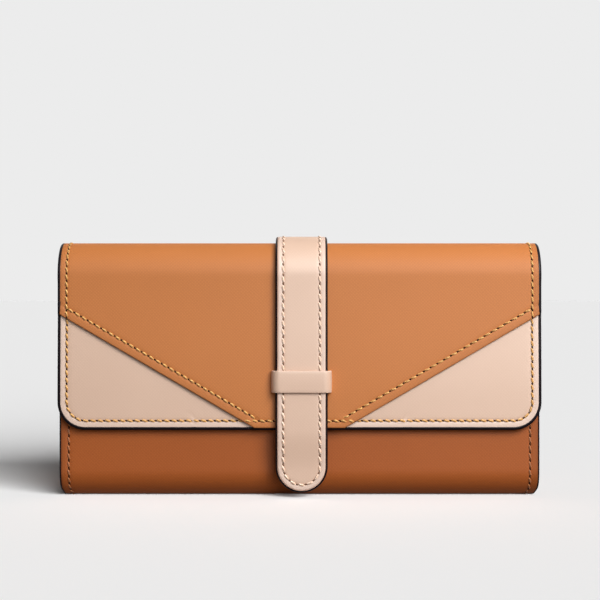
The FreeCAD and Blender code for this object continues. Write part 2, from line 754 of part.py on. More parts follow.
os.makedirs("parts", exist_ok=True)
for node in nodes:
    node.Shape.exportStep(os.path.join("parts", node.Label + ".step"))
    box = node.Shape.BoundBox
    print(f"{node.Label:20s} {node.Shape.Volume:10.1f} mm3  {len(node.Shape.Solids)} solid  "
          f"x {box.XMin:.1f} {box.XMax:.1f}  y {box.YMin:.2f} {box.YMax:.2f}  z {box.ZMin:.2f} {box.ZMax:.2f}")
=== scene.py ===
import functools
import math

import bmesh
import bpy
import numpy as np
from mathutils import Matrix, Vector


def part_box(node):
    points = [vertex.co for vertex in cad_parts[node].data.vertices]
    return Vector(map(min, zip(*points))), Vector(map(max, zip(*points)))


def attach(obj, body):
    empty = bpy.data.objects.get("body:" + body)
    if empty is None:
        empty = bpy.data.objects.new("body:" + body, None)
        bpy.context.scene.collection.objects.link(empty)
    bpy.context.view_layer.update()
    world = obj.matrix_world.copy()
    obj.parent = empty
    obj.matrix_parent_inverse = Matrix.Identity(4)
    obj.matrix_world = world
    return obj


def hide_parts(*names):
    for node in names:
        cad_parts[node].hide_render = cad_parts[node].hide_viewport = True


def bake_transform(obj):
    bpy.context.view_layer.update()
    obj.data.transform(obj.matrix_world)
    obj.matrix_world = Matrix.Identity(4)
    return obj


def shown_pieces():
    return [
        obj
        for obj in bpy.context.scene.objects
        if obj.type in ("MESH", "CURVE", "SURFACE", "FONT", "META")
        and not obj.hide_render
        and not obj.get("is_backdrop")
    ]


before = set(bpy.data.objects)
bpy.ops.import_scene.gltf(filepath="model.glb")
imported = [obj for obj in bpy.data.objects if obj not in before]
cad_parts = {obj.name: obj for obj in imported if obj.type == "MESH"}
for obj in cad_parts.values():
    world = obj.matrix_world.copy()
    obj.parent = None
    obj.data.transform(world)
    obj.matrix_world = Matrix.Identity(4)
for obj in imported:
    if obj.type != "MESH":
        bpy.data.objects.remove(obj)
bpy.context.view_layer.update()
print("frame loaded:", len(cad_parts), "solids")

mm = 0.001
waveScale = math.pi / 10 / mm  # divided by a spacing in millimetres it gives a wave texture's scale


def solidBox(node):
    # a solid's lowest and highest corner, in millimetres
    low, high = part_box(node)
    return np.array(low) / mm, np.array(high) / mm


def hexToLinear(text):
    # each sRGB byte b in 0..1: b / 12.92 up to 0.04045, else ((b + 0.055) / 1.055) ** 2.4
    parts = [int(text[i:i + 2], 16) / 255 for i in (1, 3, 5)]
    return tuple(c / 12.92 if c <= 0.04045 else ((c + 0.055) / 1.055) ** 2.4 for c in parts) + (1.0,)


def smoothStep(t):
    # 3 t squared minus 2 t cubed, with t held between 0 and 1
    t = np.clip(t, 0, 1)
    return t * t * (3 - 2 * t)


def addNode(tree, kind, settings=None, links=None):
    # settings are attributes, or input values by name or number, with colours as hex text; links are inputs to
    # output sockets
    node = tree.nodes.new("ShaderNode" + kind)
    for key, setting in (settings or {}).items():
        if isinstance(key, str) and key not in node.inputs:
            setattr(node, key, setting)
        else:
            isColour = isinstance(setting, str) and setting.startswith("#")
            node.inputs[key].default_value = hexToLinear(setting) if isColour else setting
    for key, socket in (links or {}).items():
        tree.links.new(socket, node.inputs[key])
    return node


def newTree(holder):
    # the empty node tree of a material or a world, as a function that adds nodes to it
    holder.use_nodes = True
    holder.node_tree.nodes.clear()
    return functools.partial(addNode, holder.node_tree)


def newMaterial(name, settings):
    # a Principled shader with its own settings, to which a finish adds its pattern
    material = bpy.data.materials.new(name)
    add = newTree(material)
    shader = add("BsdfPrincipled", settings)
    add("OutputMaterial", links={"Surface": shader.outputs["BSDF"]})
    return material, add, shader


def dressShader(material, add, shader, colour, roughness, roughBy, relief, height):
    # a colour, a roughness that runs between two values, and relief as a strength and a depth in millimetres
    spread = add("MapRange", {"To Min": roughness[0], "To Max": roughness[1]}, {"Value": roughBy})
    bump = add("Bump", {"Strength": relief[0], "Distance": relief[1] * mm}, {"Height": height})
    for name, socket in (("Base Color", colour), ("Roughness", spread.outputs["Result"]),
                         ("Normal", bump.outputs["Normal"])):
        material.node_tree.links.new(socket, shader.inputs[name])
    return material


def makeLeather(name, look):
    # Vegetable tanned calf, plated with a fine crossed grain: broad clouds of dye, a crossed hatch and pores
    # that break up the highlight, and borders tinted by burnishing.
    material, add, shader = newMaterial(name, {"Specular IOR Level": look["specular"], "IOR": 1.48})
    cut = add("TexCoord").outputs["UV"]
    clouds = add("TexNoise", {"Scale": 1 / (look["cloud"] * mm), "Detail": 3.0, "Roughness": 0.55}, {"Vector": cut})
    pores = add("TexNoise", {"Scale": 1 / (look["pore"] * mm), "Detail": 4.0, "Roughness": 0.65}, {"Vector": cut})
    hatch = []
    for turn in (45, -45):
        turned = add("Mapping", {"Rotation": (0, 0, math.radians(turn))}, {"Vector": cut})
        hatch.append(add("TexWave", {"Scale": waveScale / look["hatch"], "Distortion": 2.2, "Detail": 1.0,
                                     "Detail Scale": 0.6}, {"Vector": turned.outputs["Vector"]}))
    crossed = add("Math", {"operation": "MULTIPLY"}, {0: hatch[0].outputs["Fac"], 1: hatch[1].outputs["Fac"]})
    height = add("Math", {"operation": "MULTIPLY_ADD", 1: look["hatchShare"]},
                 {0: crossed.outputs[0], 2: pores.outputs["Fac"]}).outputs[0]
    dyed = add("Mix", {"data_type": "RGBA", 6: look["light"], 7: look["deep"]}, {0: clouds.outputs["Fac"]})
    grained = add("MapRange", {"From Min": 0.3, "From Max": 1.0, "To Min": look["grainShade"], "To Max": 0.0},
                  {"Value": height})
    shaded = add("Mix", {"data_type": "RGBA", 7: look["pit"]}, {0: grained.outputs["Result"], 6: dyed.outputs[2]})
    wear = add("Attribute", {"attribute_name": "wear"})
    worn = add("Math", {"operation": "MULTIPLY", 1: look["burnish"]}, {0: wear.outputs["Fac"]})
    burnished = add("Mix", {"data_type": "RGBA", 7: look["burnished"]}, {0: worn.outputs[0], 6: shaded.outputs[2]})
    return dressShader(material, add, shader, burnished.outputs[2], (look["rough"] - 0.06, look["rough"] + 0.08),
                       height, (look["bump"], look["relief"]), height)


def makeEdgePaint(name, look):
    # Acrylic edge paint in two coats, sanded between: a dull dark bead with slight ripples. The same finish in browns
    # is the painted shade of the needle-hole lenses.
    material, add, shader = newMaterial(name, {"Specular IOR Level": 0.1, "IOR": 1.49})
    place = add("TexCoord").outputs["Object"]
    ripple = add("TexNoise", {"Scale": 1 / (look["ripple"] * mm), "Detail": 2.0}, {"Vector": place}).outputs["Fac"]
    tone = add("Mix", {"data_type": "RGBA", 6: look["dark"], 7: look["light"]}, {0: ripple})
    return dressShader(material, add, shader, tone.outputs[2], (look["rough"] - 0.08, look["rough"] + 0.08),
                       ripple, (0.4, 0.05), ripple)


def makeThread(name, look):
    # Waxed three-ply polyester: slanting plies with dark lines between them, and a soft wax shine.
    material, add, shader = newMaterial(name, {"Specular IOR Level": 0.4, "IOR": 1.5, "Sheen Weight": 0.15})
    along = add("TexCoord").outputs["UV"]
    plies = add("TexWave", {"Scale": math.pi / 10 * look["plies"], "bands_direction": "DIAGONAL"},
                {"Vector": along}).outputs["Fac"]
    tone = add("Mix", {"data_type": "RGBA", 6: look["deep"], 7: look["light"]}, {0: plies})
    return dressShader(material, add, shader, tone.outputs[2], (0.62, 0.48), plies, (0.5, 0.1), plies)


def makeCloth(name, look):
    # Plain woven cloth: warp and weft crests, each thread a little lighter or darker than the next.
    material, add, shader = newMaterial(name, {"Specular IOR Level": 0.3, "Sheen Weight": 0.25,
                                               "Sheen Roughness": 0.5})
    cut = add("TexCoord").outputs["UV"]
    threads = [add("TexWave", {"Scale": waveScale / look["spacing"], "bands_direction": axis, "Distortion": 0.3,
                               "Detail": 1.0}, {"Vector": cut}).outputs["Fac"] for axis in ("X", "Y")]
    weave = add("Math", {"operation": "MULTIPLY"}, {0: threads[0], 1: threads[1]}).outputs[0]
    slubs = add("TexNoise", {"Scale": 1 / (look["slub"] * mm), "Detail": 3.0}, {"Vector": cut})
    height = add("Math", {"operation": "MULTIPLY_ADD", 1: 0.5}, {0: slubs.outputs["Fac"], 2: weave}).outputs[0]
    tone = add("Mix", {"data_type": "RGBA", 6: look["deep"], 7: look["light"]}, {0: height})
    return dressShader(material, add, shader, tone.outputs[2], (0.9, 0.7), weave, (0.6, look["relief"]), height)


def makeMetal(name, look):
    # Polished light-gold plating on brass: a bright even reflection with fine rubbing marks and dull patches.
    material, add, shader = newMaterial(name, {"Metallic": 1.0})
    place = add("TexCoord").outputs["Object"]
    stretched = add("Mapping", {"Scale": (0.15, 1.0, 1.0)}, {"Vector": place})
    marks = add("TexNoise", {"Scale": 1 / (look["mark"] * mm), "Detail": 4.0},
                {"Vector": stretched.outputs["Vector"]}).outputs["Fac"]
    tone = add("Mix", {"data_type": "RGBA", 6: look["light"], 7: look["deep"]}, {0: marks})
    return dressShader(material, add, shader, tone.outputs[2], (look["rough"] - 0.07, look["rough"] + 0.1),
                       marks, (0.15, 0.02), marks)


grain = {"cloud": 34.0, "pore": 0.7, "hatch": 0.9, "hatchShare": 0.6, "relief": 0.06, "bump": 0.35}
tanCalf = makeLeather("tanPlatedCalf", {
    **grain, "light": "#c97c41", "deep": "#c2763b", "pit": "#8a4a20", "grainShade": 0.22,
    "burnished": "#7c431f", "burnish": 0.35, "rough": 0.6, "specular": 0.22})
saddleCalf = makeLeather("saddlePlatedCalf", {
    **grain, "light": "#ad5c27", "deep": "#a65622", "pit": "#6b300f", "grainShade": 0.24,
    "burnished": "#4a2410", "burnish": 0.45, "rough": 0.5, "specular": 0.17})
naturalCalf = makeLeather("naturalPlatedCalf", {
    **grain, "light": "#dab9a2", "deep": "#d3b19a", "pit": "#b08a70", "grainShade": 0.14,
    "burnished": "#e2cabc", "burnish": 0.5, "rough": 0.5, "specular": 0.55, "bump": 0.22})
innerCalf = makeLeather("skivedInnerCalf", {
    **grain, "light": "#b97a50", "deep": "#ae7048", "pit": "#74411f", "grainShade": 0.2,
    "burnished": "#6b3b1d", "burnish": 0.4, "rough": 0.55, "specular": 0.4})
# darkEdge is real edge paint on the beads and most rims, and painted step shade on the tan leather's diagonal rims
darkEdge = makeEdgePaint("darkEdgePaintAndStepShade", {"dark": "#0a0508", "light": "#1a1016", "ripple": 3.0, "rough": 0.4})
# the needle holes are flat dark lenses: painted shade for the shadow inside each hole, brown on the tan and saddle
# leather and paler on the natural leather
needleHole = makeEdgePaint("needleHoleShadow", {"dark": "#2b1205", "light": "#4a250f", "ripple": 1.0, "rough": 0.85})
paleHoleShade = makeEdgePaint("paleNeedleHoleShadow", {"dark": "#7d5a45", "light": "#94705a", "ripple": 1.0, "rough": 0.85})
goldThread = makeThread("waxedGoldThread", {"light": "#eab864", "deep": "#bd8239", "plies": 3})
tanThread = makeThread("waxedTanThread", {"light": "#bd7740", "deep": "#8f5024", "plies": 3})
paleThread = makeThread("waxedPaleThread", {"light": "#ffe6d2", "deep": "#e2bd9f", "plies": 3})
liningCloth = makeCloth("wovenLining", {"light": "#b98a68", "deep": "#7f5638", "spacing": 0.8, "slub": 2.4,
                                        "relief": 0.08})
tapeCloth = makeCloth("wovenZipTape", {"light": "#8a5c3e", "deep": "#553421", "spacing": 0.6, "slub": 1.5,
                                       "relief": 0.08})
goldPlate = makeMetal("goldPlatedBrass", {"light": "#e6c07a", "deep": "#b98b45", "mark": 0.6, "rough": 0.28})
print("materials made")


def makeObject(name, points, faces, coords, kinds, materials, wears=None, crease=None):
    # One object of quads from points in millimetres, with each point's place in the pattern and each face's material
    # number. Near points become one, open borders are filled, and the faces are turned outwards.
    mesh = bpy.data.meshes.new(name)
    mesh.from_pydata((points * mm).tolist(), [], faces.tolist())
    mesh.uv_layers.new(name="cut").data.foreach_set("uv", coords[faces.ravel()].astype(np.float32).ravel())
    mesh.polygons.foreach_set("material_index", kinds.astype(np.int32))
    if wears is not None:
        mesh.attributes.new("wear", "FLOAT", "POINT").data.foreach_set("value", wears.astype(np.float32))
    for material in materials:
        mesh.materials.append(material)
    work = bmesh.new()
    work.from_mesh(mesh)
    bmesh.ops.remove_doubles(work, verts=work.verts, dist=0.002 * mm)
    bmesh.ops.dissolve_degenerate(work, edges=work.edges, dist=0.001 * mm)
    borders = [edge for edge in work.edges if len(edge.link_faces) == 1]
    bmesh.ops.holes_fill(work, edges=borders, sides=0)
    bmesh.ops.recalc_face_normals(work, faces=work.faces)
    work.to_mesh(mesh)
    work.free()
    mesh.polygons.foreach_set("use_smooth", [True] * len(mesh.polygons))
    if crease is not None:
        mesh.set_sharp_from_angle(angle=math.radians(crease))
    mesh.update()
    piece = bpy.data.objects.new(name, mesh)
    bpy.context.scene.collection.objects.link(piece)
    return piece


def makePiece(name, grids, materials, crease=42):
    # Joins grids of points into one closed mesh. Each grid is (points, cut, wear, material number), with points in
    # millimetres as rows by columns by 3, cut the place on the flat leather in millimetres, and wear from 0 to 1.
    points, cuts, wears, quads, kinds = [], [], [], [], []
    base = 0
    for grid, cut, wear, kind in grids:
        rows, columns = grid.shape[:2]
        i, j = np.meshgrid(np.arange(rows - 1), np.arange(columns - 1), indexing="ij")
        corner = i * columns + j + base
        quads.append(np.stack([corner, corner + 1, corner + columns + 1, corner + columns], -1).reshape(-1, 4))
        kinds.append(np.full(len(quads[-1]), kind))
        points.append(grid.reshape(-1, 3))
        cuts.append(cut.reshape(-1, 2) * mm)
        wears.append(np.broadcast_to(wear, grid.shape[:2]).ravel())
        base += rows * columns
    points, cuts, wears, quads, kinds = (np.concatenate(part) for part in (points, cuts, wears, quads, kinds))
    return makeObject(name, points, quads, cuts, kinds, materials, wears, crease)


foldLow, foldHigh = solidBox("top_fold")
topFold = {"crown": 1.0}  # flat width along the very top of the fold
topFold["radius"] = (foldHigh[1] - foldLow[1] - topFold["crown"]) / 2
topFold["middle"] = (foldHigh[1] + foldLow[1]) / 2
arcLevel = foldHigh[2] - topFold["radius"]
flatStart = topFold["crown"] / 2 + topFold["radius"] * math.pi / 2


def flapRun(z):
    # the distance from the crown down to a height on the straight part of the flap
    return flatStart + arcLevel - z


flapLow, flapHigh = solidBox("flap_lining")
flapShape = {
    "half": flapHigh[0], "bottom": flapLow[2] - 0.95, "round": 11.0,
    "cornerSide": 72.3, "cornerInset": 16.2, "step": 1.2,  # the tan leather lies this far over the pale corners
    "bead": 0.9, "seam": 3.7, "diagonalSeam": 3.6, "groove": 0.16, "grooveWidth": 0.75, "edgeRound": 0.45,
}
half = flapShape["half"]
flapFoot = flapRun(flapShape["bottom"])
bulge = {"most": 1.05, "starts": 3.0, "grows": 45.0, "foot": flapFoot - flatStart, "falls": 16.0}


def flapBulge(s):
    # the closed flap stands off the body: it rises slowly below the fold, and the strap's tip comes back to the
    # snap
    down = s - flatStart
    return bulge["most"] * smoothStep((down - bulge["starts"]) / bulge["grows"]) * smoothStep(
        1 - (down - bulge["foot"]) / bulge["falls"])


def overTop(x, s, lift):
    # s runs over the fold from its crown, positive down the flap and negative down the back: flat for half the
    # crown, a quarter circle, then straight down. lift is the height above the leather's outer face.
    x, s, lift = np.broadcast_arrays(x, s, lift)
    run = np.abs(s)
    turn = np.clip((run - topFold["crown"] / 2) / topFold["radius"], 0, math.pi / 2)
    level = np.minimum(run, topFold["crown"] / 2)
    down = np.maximum(run - flatStart, 0)
    away = level + (topFold["radius"] + lift) * np.sin(turn)
    height = arcLevel + (topFold["radius"] + lift) * np.cos(turn) - down
    return np.stack([x, topFold["middle"] - np.sign(s) * away - flapBulge(s), height], -1)


bottomLow, bottomHigh = solidBox("bottom_fold")
bottomFold = {"radius": 10.5, "pinch": 0.8, "pinchStart": 4.0}
bottomFlat = bottomHigh[1] - bottomFold["radius"]
bottomTurn = bottomFold["radius"] * math.pi / 2


def underBottom(x, t, lift):
    # t runs under the body from the middle of its foot, positive up the front and negative up the back: flat, a
    # quarter circle, then straight up. The width draws in a little as the leather goes under.
    x, t, lift = np.broadcast_arrays(x, t, lift)
    run = np.abs(t)
    turn = np.clip((run - bottomFlat) / bottomFold["radius"], 0, math.pi / 2)
    up = np.maximum(run - bottomFlat - bottomTurn, 0)
    away = np.minimum(run, bottomFlat) + (bottomFold["radius"] + lift) * np.sin(turn)
    height = bottomFold["radius"] - (bottomFold["radius"] + lift) * np.cos(turn) + up
    pinch = bottomFold["pinch"] * smoothStep(1 - height / bottomFold["pinchStart"])
    drawn = x - np.sign(x) * pinch * np.clip(np.abs(x) / 60 - 0.5, 0, 1)
    return np.stack([drawn, -np.sign(t) * away, height], -1)


def bodyRun(z):
    # the distance from the middle of the foot up to a height on the straight part of the body
    return bottomFlat + bottomTurn + z - bottomFold["radius"]


# distances from a border at which points lie, close together where the edge is rounded and the seam sinks
edgeSteps = np.array([0.0, 0.04, 0.12, 0.25, 0.45, 0.7, 1.0, 1.35, 1.7, 2.0, 2.3, 2.6, 2.9, 3.2, 3.6, 4.0, 4.5, 5.2,
                      6.2])
sideNames = {1: "Right", -1: "Left"}


def spacedColumns(half, step=2.5, extra=()):
    # columns close together near both side edges, even between them
    inner = np.linspace(-half + edgeSteps[-1] + step, half - edgeSteps[-1] - step,
                        int(2 * (half - edgeSteps[-1] - step) / step) + 1)
    return np.unique(np.round(np.concatenate([-half + edgeSteps, inner, half - edgeSteps, extra]), 4))


def joinParts(*parts):
    # lists of coordinates from parts laid end to end, each part's numbers spread over its arrays
    spread = [np.broadcast_arrays(*(np.asarray(item, float) for item in part)) for part in parts]
    return [np.concatenate(column) for column in zip(*(map(np.atleast_1d, part) for part in spread))]


def edgeDrop(distance, radius):
    # a quarter circle: the face falls by radius at the edge and is level once a radius in
    share = 1 - np.clip(distance / radius, 0, 1)
    return -radius * (1 - np.sqrt(np.maximum(1 - share * share, 0)))


def seamDrop(distance, seam, shape):
    # a soft groove pulled down by the thread: a bell curve about the seam
    return -shape["groove"] * np.exp(-((distance - seam) / shape["grooveWidth"]) ** 2)


def borderLift(distance, seam, shape):
    # the rounding of a leather's border and the groove of the seam beside it
    return edgeDrop(distance, shape["edgeRound"]) + seamDrop(distance, seam, shape)


def slab(place, x, s, faceLift, backLift, wear, face=0, back=0, rim=0):
    # a sheet between two lifts over the same grid, with strips round its four borders
    faceLift, backLift, wear = (np.broadcast_to(part, x.shape) for part in (faceLift, backLift, wear))
    outer, inner = place(x, s, faceLift), place(x, s, backLift)
    cut = np.stack([x, s], -1)
    grids = [(outer, cut, wear, face), (inner, cut, wear, back)]
    for edge in (np.s_[0, :], np.s_[-1, :], np.s_[:, 0], np.s_[:, -1]):
        grids.append((np.stack([outer[edge], inner[edge]]), np.stack([cut[edge]] * 2), np.stack([wear[edge]] * 2),
                      rim))
    return grids


def carryBead(place, x, s, outX, outS, low, high, width, sides=14):
    # an ellipse carried along an outline: inwards by width (1 - cos a), and between two lifts by sin a
    a = np.linspace(0, 2 * math.pi, sides + 1)[None, :]
    inset = width * (1 - np.cos(a))
    x, s, outX, outS, low, high = (part[:, None] for part in np.broadcast_arrays(x, s, outX, outS, low, high))
    px, ps = x - outX * inset, s - outS * inset
    lift = (high + low) / 2 + (high - low) / 2 * np.sin(a)
    return place(px, ps, lift), np.stack([px, ps + lift], -1), 0.0, 0


stitchForm = {"rings": [-1, -0.78, -0.35, 0.35, 0.78, 1], "swell": [0, 0.7, 1.0, 1.0, 0.7, 0], "sides": 6,
              "holeSides": 8, "holeLevels": [-0.05, 0.0, 0.05], "holeGrow": [0.0, 1.0, 0.0]}


def sewLine(place, x, s, look, liftAt):
    # Even stitches along a line on the cut: each a bent spindle (rings of radius r about a low arch) turned a
    # little off the line, with a flat dark lens at each end that is painted shade standing for the needle hole.
    # liftAt is the lift of the line, or a function of its place. Returns threads and the hole lenses.
    x, s = np.broadcast_arrays(x, s)
    run = np.concatenate([[0], np.cumsum(np.hypot(np.diff(x), np.diff(s)))])
    count = max(int(round(run[-1] / look["pitch"])), 1)
    pitch = run[-1] / count

    def cutAt(where):
        return np.interp(where, run, x), np.interp(where, run, s)

    def frameAt(where):
        px, ps = cutAt(where)
        lift = liftAt(px, ps) if callable(liftAt) else liftAt + 0 * px
        centre = place(px, ps, lift)
        along = place(*cutAt(where + 0.2), lift) - place(*cutAt(where - 0.2), lift)
        along /= np.linalg.norm(along, axis=-1, keepdims=True)
        outward = place(px, ps, lift + 0.1) - centre
        outward /= np.linalg.norm(outward, axis=-1, keepdims=True)
        slant = -math.radians(look["slant"]) * (2 * along[:, :1] ** 2 - 1)
        turned = along * np.cos(slant) + np.cross(outward, along) * np.sin(slant)
        return [part[:, None, None, :] for part in (centre, turned, np.cross(outward, turned), outward)]

    def rings(frames, alongs, acrosses, ups):
        # points at three distances from each frame's centre
        centre, along, across, outward = frames
        return (centre + along * alongs[None, :, :, None] + across * acrosses[None, :, :, None]
                + outward * ups[None, :, :, None])

    turn = np.arange(stitchForm["sides"]) * 2 * math.pi / stitchForm["sides"]
    a, swell = (np.array(stitchForm[key])[:, None] for key in ("rings", "swell"))
    radius = look["radius"] * swell
    arch = look["arch"] * (1 - a * a) - look["sink"]
    threads = rings(frameAt((np.arange(count) + 0.5) * pitch), a * look["length"] / 2 + 0 * turn,
                    radius * np.cos(turn), radius * look["flat"] * np.sin(turn) + arch)
    rim = np.arange(stitchForm["holeSides"]) * 2 * math.pi / stitchForm["holeSides"]
    level, grow = (np.array(stitchForm[key])[:, None] for key in ("holeLevels", "holeGrow"))
    holes = rings(frameAt(np.arange(count + 1) * pitch), look["holeLong"] * grow * np.cos(rim),
                  look["holeWide"] * grow * np.sin(rim), level + look["holeLift"] + 0 * rim)
    return threads, holes


def makeStitches(name, lines, materials):
    # all threads and painted-shade needle-hole lenses of one moving part: rings joined by quads, poles by fans
    points, faces, kinds, coords = [], [], [], []
    base = 0
    for threads, holes in lines:
        for group, kind in ((threads, 0), (holes, 1)):
            count, rings, sides = group.shape[:3]
            i, j = np.meshgrid(np.arange(rings - 1) * sides, np.arange(sides), indexing="ij")
            k = (j + 1) % sides
            quads = np.stack([i + j, i + k, i + sides + k, i + sides + j], -1).reshape(-1, 4)
            shifts = np.arange(count)[:, None, None] * rings * sides + base
            faces.append((quads[None] + shifts).reshape(-1, 4))
            kinds.append(np.full(len(faces[-1]), kind))
            points.append(group.reshape(-1, 3))
            u, v = np.meshgrid(np.linspace(0, 1, rings), np.arange(sides) / sides, indexing="ij")
            coords.append(np.tile(np.stack([u, v], -1).reshape(-1, 2), (count, 1)))
            base += count * rings * sides
    points, faces, kinds, coords = (np.concatenate(part) for part in (points, faces, kinds, coords))
    return makeObject(name, points, faces, coords, kinds, materials)


def roundedPath(corners, radii, step=1.2):
    # a line through corners with each inner corner made an arc: the distances along it, its points, and its
    # normals to the left of the way along
    corners = [np.array(corner, float) for corner in corners]
    points = [corners[0]]
    for before, corner, after, radius in zip(corners, corners[1:], corners[2:], radii):
        inward = (corner - before) / np.linalg.norm(corner - before)
        onward = (after - corner) / np.linalg.norm(after - corner)
        turn = math.acos(float(inward @ onward))
        side = math.copysign(1, inward[0] * onward[1] - inward[1] * onward[0])
        left = side * np.array([-inward[1], inward[0]])
        start = corner - inward * radius * math.tan(turn / 2)
        a = np.linspace(0, turn, 9)[:, None]
        points.extend(start + radius * (np.sin(a) * inward + (1 - np.cos(a)) * left))
    points = np.array(points + [corners[-1]])
    run = np.concatenate([[0], np.cumsum(np.linalg.norm(np.diff(points, axis=0), axis=1))])
    places = np.unique(np.round(np.concatenate([run, np.arange(0, run[-1], step)]), 4))
    places[-1] = run[-1]
    line = np.stack([np.interp(places, run, points[:, k]) for k in (0, 1)], -1)
    along = np.gradient(line, places, axis=0)
    along /= np.linalg.norm(along, axis=1, keepdims=True)
    return places, line, np.stack([-along[:, 1], along[:, 0]], -1)


def alongPath(path, toPoint):
    # a place function for a sheet that follows a path: across it, along it, and lifted along its normals
    run, line, normals = path

    def place(across, s, lift):
        across, s, lift = np.broadcast_arrays(across, s, lift)
        first, second = (np.interp(s, run, line[:, k]) + lift * np.interp(s, run, normals[:, k])
                         for k in (0, 1))
        return toPoint(across, first, second)
    return place


slope = (flapShape["cornerSide"] - flapShape["bottom"]) / (half - flapShape["cornerInset"])
slopeCos = 1 / math.hypot(1, slope)


def tanFoot(x):
    # where the tan leather ends: level in the middle, then rising evenly to the sides
    return flapFoot - slope * np.maximum(np.abs(x) - flapShape["cornerInset"], 0)


def flapThickness(s):
    # the lining steps inwards once the stiffening board starts, a little below the fold
    return -1.2 - 0.8 * smoothStep((s - flatStart - 1) / 3)


leatherHalf = half - flapShape["bead"]
leatherSeam = flapShape["seam"] - flapShape["bead"]
flatReach = flapShape["cornerInset"] + flapShape["bead"] / slope
columns = spacedColumns(leatherHalf, 2.5, (-flatReach, flatReach))
upper = np.linspace(0, flatStart + 2, 26)
lower = np.linspace(0, 1, 40)[1:-1]
foot = np.minimum(tanFoot(columns), flapFoot - flapShape["bead"])[None, :]
onLevel = (np.abs(columns) < flatReach - 0.1)[None, :]
lean = np.where(onLevel, 1.0, 1 / slopeCos)
edgeRows = foot - edgeSteps[::-1, None] * lean
middleRows = upper[-1] + (edgeRows[:1] - upper[-1]) * lower[:, None]
s = np.concatenate([upper[:, None] + 0 * foot, middleRows, edgeRows])
x = columns[None, :] + 0 * s
sideGap = leatherHalf - np.abs(x)
footGap = (foot - s) / lean
faceLift = (borderLift(sideGap, leatherSeam, flapShape)
            + borderLift(footGap, np.where(onLevel, leatherSeam, flapShape["diagonalSeam"]), flapShape))
wear = np.maximum(np.exp(-sideGap / 1.2), np.exp(-footGap / 0.8))
# The slab's rim takes the dark edge paint. Along the diagonal edges over the pale corners, that dark rim is painted
# shade for the shadow line of the step, on top of the shadow the step itself casts.
flapLeather = makePiece("flapLeather", slab(overTop, x, s, faceLift, flapThickness(s) + 0.1, wear, 0, 1, 2),
                        [tanCalf, innerCalf, darkEdge])
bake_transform(flapLeather)
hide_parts("top_fold", "flap_centre", "flap_stiffener")

backFoot = -flapRun(bottomHigh[2])
rows = np.concatenate([[0.4, 0.2], -np.linspace(0, flatStart + 2, 26),
                       np.linspace(-flatStart - 2, backFoot, 34)[1:]])
x, s = np.meshgrid(spacedColumns(leatherHalf), rows)
sideGap = leatherHalf - np.abs(x)
# the end that runs on under the flap leather lies a hair lower, so that no gap shows along the crown
faceLift = borderLift(sideGap, leatherSeam, flapShape) - 0.002 * smoothStep(1 + s / 0.2)
backLeather = makePiece("backLeather", slab(overTop, x, s, faceLift, -1.2, np.exp(-sideGap / 1.2), 0, 1, 2),
                        [tanCalf, innerCalf, darkEdge])
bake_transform(backLeather)
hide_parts("back_panel", "top_fold")
print("flap and back leather made")

centreZ = flapShape["bottom"] + flapShape["round"]
roundX = half - flapShape["round"]


def cornerLow(x, inset):
    # the flap's lower outline moved inwards: level, then a quarter circle up to the side
    radius = flapShape["round"] - inset
    reach = np.clip(np.abs(x) - roundX, 0, radius)
    return centreZ - np.sqrt(np.maximum(radius * radius - reach * reach, 0))


def outlineGap(x, z):
    # the distance inwards from the flap's rounded outline
    dx, dz = np.abs(x) - roundX, centreZ - z
    inCorner = (dx > 0) & (dz > 0)
    return np.where(inCorner, flapShape["round"] - np.hypot(dx, dz),
                    np.minimum(half - np.abs(x), z - flapShape["bottom"]))


cornerShape = {"innerX": 4.0, "tuck": 6.0, "top": 79.0, "upperRows": 26}
inset = flapShape["bead"]
sweep = np.linspace(0, math.pi / 2, 16)
columns = np.concatenate([np.linspace(cornerShape["innerX"], roundX, 34)[:-1],
                          roundX + (flapShape["round"] - inset) * np.sin(sweep)])
low = cornerLow(columns, inset)
high = np.minimum(flapShape["bottom"] + slope * np.maximum(columns - flapShape["cornerInset"], -8)
                  + cornerShape["tuck"], cornerShape["top"])
high = np.maximum(high, low + 3)
# rows at the edge steps where the leather is tall enough, else squeezed, and even rows above them
lowRows = np.where(high - low > 20, low + edgeSteps[:, None], low + edgeSteps[:, None] / 40 * (high - low))
risen = np.linspace(0, 1, cornerShape["upperRows"])[1:, None]
z = np.concatenate([lowRows, lowRows[-1] + risen * (high - lowRows[-1])])
for side, node in ((1, "flap_corner_right"), (-1, "flap_corner_left")):
    x = side * columns[None, :] + 0 * z
    gap = outlineGap(x, z) - inset
    corner = makePiece("paleCorner" + sideNames[side],
                       slab(overTop, x, flapRun(z), borderLift(gap, leatherSeam, flapShape) - flapShape["step"], -2.0,
                            smoothStep((leatherSeam - gap) / 0.8), 0, 1, 2),
                       [naturalCalf, innerCalf, darkEdge])
    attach(corner, "flap")
    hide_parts(node)

liningInset = 0.5
liningRound = (flapShape["round"] - liningInset) * np.sin(sweep)
columns = np.concatenate([-roundX - liningRound[::-1], np.linspace(-roundX, roundX, 60)[1:-1], roundX + liningRound])
foot = flapRun(cornerLow(columns, liningInset))[None, :]
rows = np.concatenate([np.linspace(0, flatStart + 5, 30)[:, None] + 0 * foot,
                       flatStart + 5 + (foot - flatStart - 5) * np.linspace(0, 1, 30)[1:, None]])
x = columns[None, :] + 0 * rows
liningLift = flapThickness(rows)
flapLining = makePiece("flapLining", slab(overTop, x, rows, liningLift, liningLift - 0.6, 0.0), [liningCloth])
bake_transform(flapLining)
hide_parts("top_fold_lining", "flap_lining")

